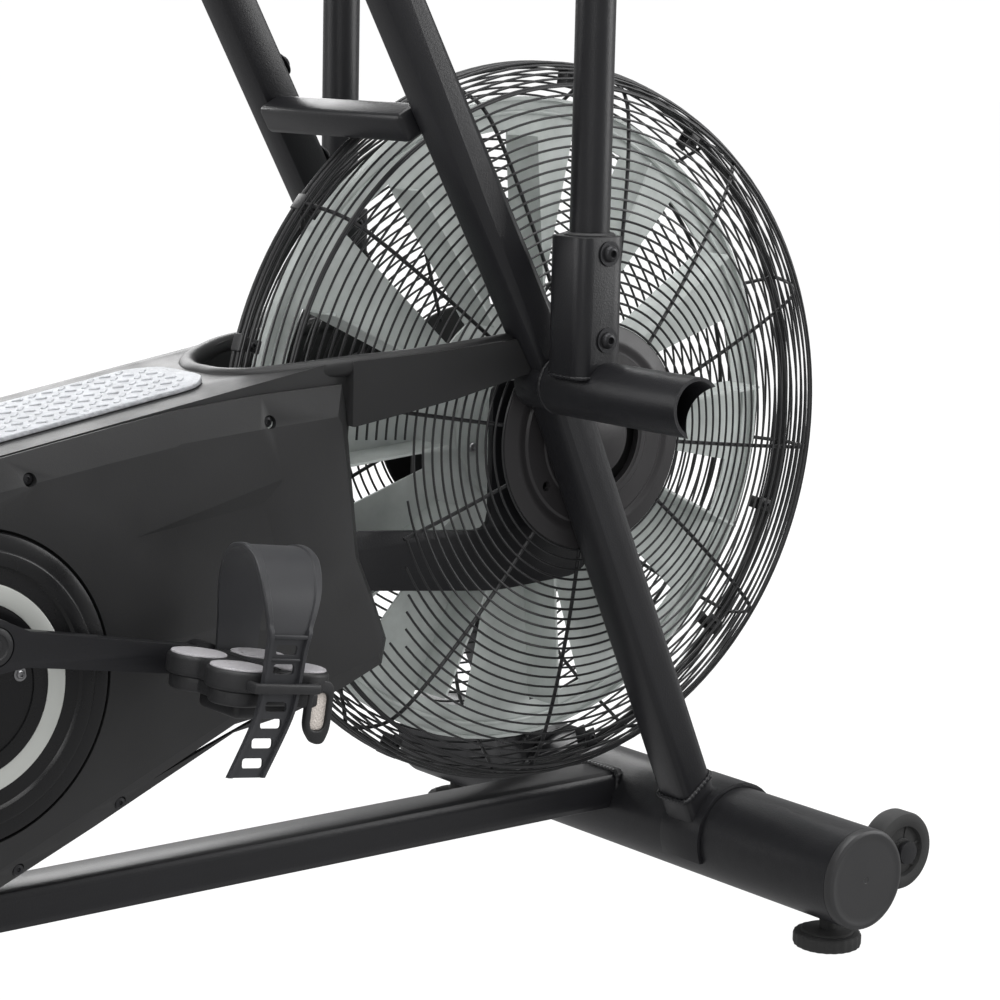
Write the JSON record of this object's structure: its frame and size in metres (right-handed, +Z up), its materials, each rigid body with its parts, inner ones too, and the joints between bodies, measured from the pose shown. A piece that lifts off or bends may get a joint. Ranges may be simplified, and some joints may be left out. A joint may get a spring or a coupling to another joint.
{
  "type": "air bike",
  "caption": "Upright air-resistance exercise bike with a caged fan wheel, swinging arm levers with foot pegs, cranks with strapped pedals, adjustable saddle and console.",
  "frame": {"origin": "on the floor, under the middle of the machine's length and width", "axes": "+X the way the rider faces, +Y to the rider's left, +Z up"},
  "size_m": [1.261, 0.6, 1.2606],
  "materials": {
    "frame_black": "black satin powder coat",
    "plastic_black": "black moulded plastic, satin",
    "fan_grey": "grey-green sheet, satin",
    "wire_black": "black coated wire",
    "rubber": "black rubber, matt",
    "steel": "plain steel",
    "tread_grey": "light grey textured insert",
    "foam": "black foam sleeve",
    "saddle_skin": "black synthetic leather over foam",
    "display": "dark display window",
    "button_grey": "grey keys"
  },
  "bodies": {
    "frame": {"main_beam": "frame_black", "front_stabiliser": "frame_black", "rear_stabiliser": "frame_black", "front_cap_right": "plastic_black", "front_cap_left": "plastic_black", "rear_cap_right": "plastic_black", "rear_cap_left": "plastic_black", "wheel_bracket_right": "frame_black", "wheel_bracket_left": "frame_black", "fork_right": "frame_black", "fork_left": "frame_black", "crossbar": "frame_black", "console_mast": "frame_black", "centre_frame": "frame_black", "axle_bracket_right": "frame_black", "axle_bracket_left": "frame_black", "cage_right": "wire_black", "cage_left": "wire_black", "drive_belt": "rubber", "fan_belt": "rubber", "side_cover_right": "plastic_black", "side_cover_left": "plastic_black", "disc_cover_right": "plastic_black", "disc_cover_left": "plastic_black", "belly_shell": "plastic_black", "top_shell": "plastic_black", "tread_insert": "tread_grey", "seat_tube": "frame_black"},
    "fan": {"fan_rotor": "fan_grey"},
    "crank": {"crank_axle": "steel", "crank_arm_right": "frame_black", "crank_arm_left": "frame_black"},
    "jack": {"jack_pulley": "steel"},
    "pedal_r": {"pedal_right": "plastic_black", "pedal_strap_right": "rubber"},
    "pedal_l": {"pedal_left": "plastic_black", "pedal_strap_left": "rubber"},
    "lever_r": {"lever_hub_right": "frame_black", "lever_right": "frame_black", "grip_right": "foam"},
    "lever_l": {"lever_hub_left": "frame_black", "lever_left": "frame_black", "grip_left": "foam"},
    "post": {"seat_post": "steel"},
    "pin": {"post_pin_knob": "plastic_black"},
    "seat": {"saddle_slider": "frame_black", "saddle": "saddle_skin"},
    "clamp": {"saddle_clamp_knob": "plastic_black"},
    "console_head": {"console": "plastic_black", "console_screen": "display"},
    "key_left": {"button_left": "button_grey"},
    "key_centre": {"button_centre": "button_grey"},
    "key_right": {"button_right": "button_grey"},
    "wheel_r": {"transport_wheel_right": "rubber"},
    "wheel_l": {"transport_wheel_left": "rubber"},
    "foot_fr": {"foot_front_right": "rubber"},
    "foot_fl": {"foot_front_left": "rubber"},
    "foot_rr": {"foot_rear_right": "rubber"},
    "foot_rl": {"foot_rear_left": "rubber"}
  },
  "joints": [
    {"name": "crank_spin", "type": "hinge", "parent": "frame", "child": "crank", "pos_m": [-0.2645, 0, 0.322], "axis": [0, 1, 0], "continuous": true},
    {"name": "jack_spin", "type": "hinge", "parent": "frame", "child": "jack", "pos_m": [-0.0795, 0, 0.322], "axis": [0, 1, 0], "continuous": true},
    {"name": "fan_spin", "type": "hinge", "parent": "frame", "child": "fan", "pos_m": [0.3205, 0, 0.4226], "axis": [0, 1, 0], "continuous": true},
    {"name": "pedal_right_spin", "type": "hinge", "parent": "crank", "child": "pedal_r", "pos_m": [-0.09134, -0.191, 0.29053], "axis": [0, 1, 0], "continuous": true},
    {"name": "pedal_left_spin", "type": "hinge", "parent": "crank", "child": "pedal_l", "pos_m": [-0.43766, 0.191, 0.35347], "axis": [0, 1, 0], "continuous": true},
    {"name": "lever_right_swing", "type": "hinge", "parent": "frame", "child": "lever_r", "pos_m": [0.2455, -0.171, 0.476], "axis": [0, 1, 0], "range_deg": [-12, 12]},
    {"name": "lever_left_swing", "type": "hinge", "parent": "frame", "child": "lever_l", "pos_m": [0.2455, 0.171, 0.476], "axis": [0, 1, 0], "range_deg": [-12, 12]},
    {"name": "seat_height", "type": "slide", "parent": "frame", "child": "post", "axis": [-0.1736, 0, 0.9848], "range_m": [-0.09, 0.12]},
    {"name": "pin_pull", "type": "slide", "parent": "frame", "child": "pin", "axis": [-0.9848, 0, -0.1736], "range_m": [0, 0.01], "stiffness_N_per_m": 800, "springref_m": -0.01},
    {"name": "seat_fore_aft", "type": "slide", "parent": "post", "child": "seat", "axis": [1, 0, 0], "range_m": [-0.04, 0.04]},
    {"name": "saddle_clamp_turn", "type": "hinge", "parent": "seat", "child": "clamp", "pos_m": [-0.47647, -0.025, 0.85645], "axis": [0, 1, 0], "range_deg": [0, 360]},
    {"name": "console_tilt", "type": "hinge", "parent": "frame", "child": "console_head", "pos_m": [-0.0315, 0, 1.02], "axis": [0, 1, 0], "range_deg": [-15, 20]},
    {"name": "button_left_press", "type": "slide", "parent": "console_head", "child": "key_left", "axis": [0.6157, 0, -0.788], "range_m": [0, 0.0015], "stiffness_N_per_m": 600, "springref_m": -0.001},
    {"name": "button_centre_press", "type": "slide", "parent": "console_head", "child": "key_centre", "axis": [0.6157, 0, -0.788], "range_m": [0, 0.0015], "stiffness_N_per_m": 600, "springref_m": -0.001},
    {"name": "button_right_press", "type": "slide", "parent": "console_head", "child": "key_right", "axis": [0.6157, 0, -0.788], "range_m": [0, 0.0015], "stiffness_N_per_m": 600, "springref_m": -0.001},
    {"name": "wheel_right_spin", "type": "hinge", "parent": "frame", "child": "wheel_r", "pos_m": [0.5315, -0.257, 0.07], "axis": [0, 1, 0], "continuous": true},
    {"name": "wheel_left_spin", "type": "hinge", "parent": "frame", "child": "wheel_l", "pos_m": [0.5315, 0.257, 0.07], "axis": [0, 1, 0], "continuous": true},
    {"name": "foot_fr_turn", "type": "hinge", "parent": "frame", "child": "foot_fr", "pos_m": [0.4525, -0.257, 0], "axis": [0, 0, 1], "continuous": true},
    {"name": "foot_fl_turn", "type": "hinge", "parent": "frame", "child": "foot_fl", "pos_m": [0.4525, 0.257, 0], "axis": [0, 0, 1], "continuous": true},
    {"name": "foot_rr_turn", "type": "hinge", "parent": "frame", "child": "foot_rr", "pos_m": [-0.5945, -0.22, 0], "axis": [0, 0, 1], "continuous": true},
    {"name": "foot_rl_turn", "type": "hinge", "parent": "frame", "child": "foot_rl", "pos_m": [-0.5945, 0.22, 0], "axis": [0, 0, 1], "continuous": true}
  ],
  "couplings": [
    {"joint": "jack_spin", "follows": "crank_spin", "ratio": 3.8636},
    {"joint": "fan_spin", "follows": "crank_spin", "ratio": 7.4301},
    {"joint": "lever_left_swing", "follows": "lever_right_swing", "ratio": -1}
  ]
}
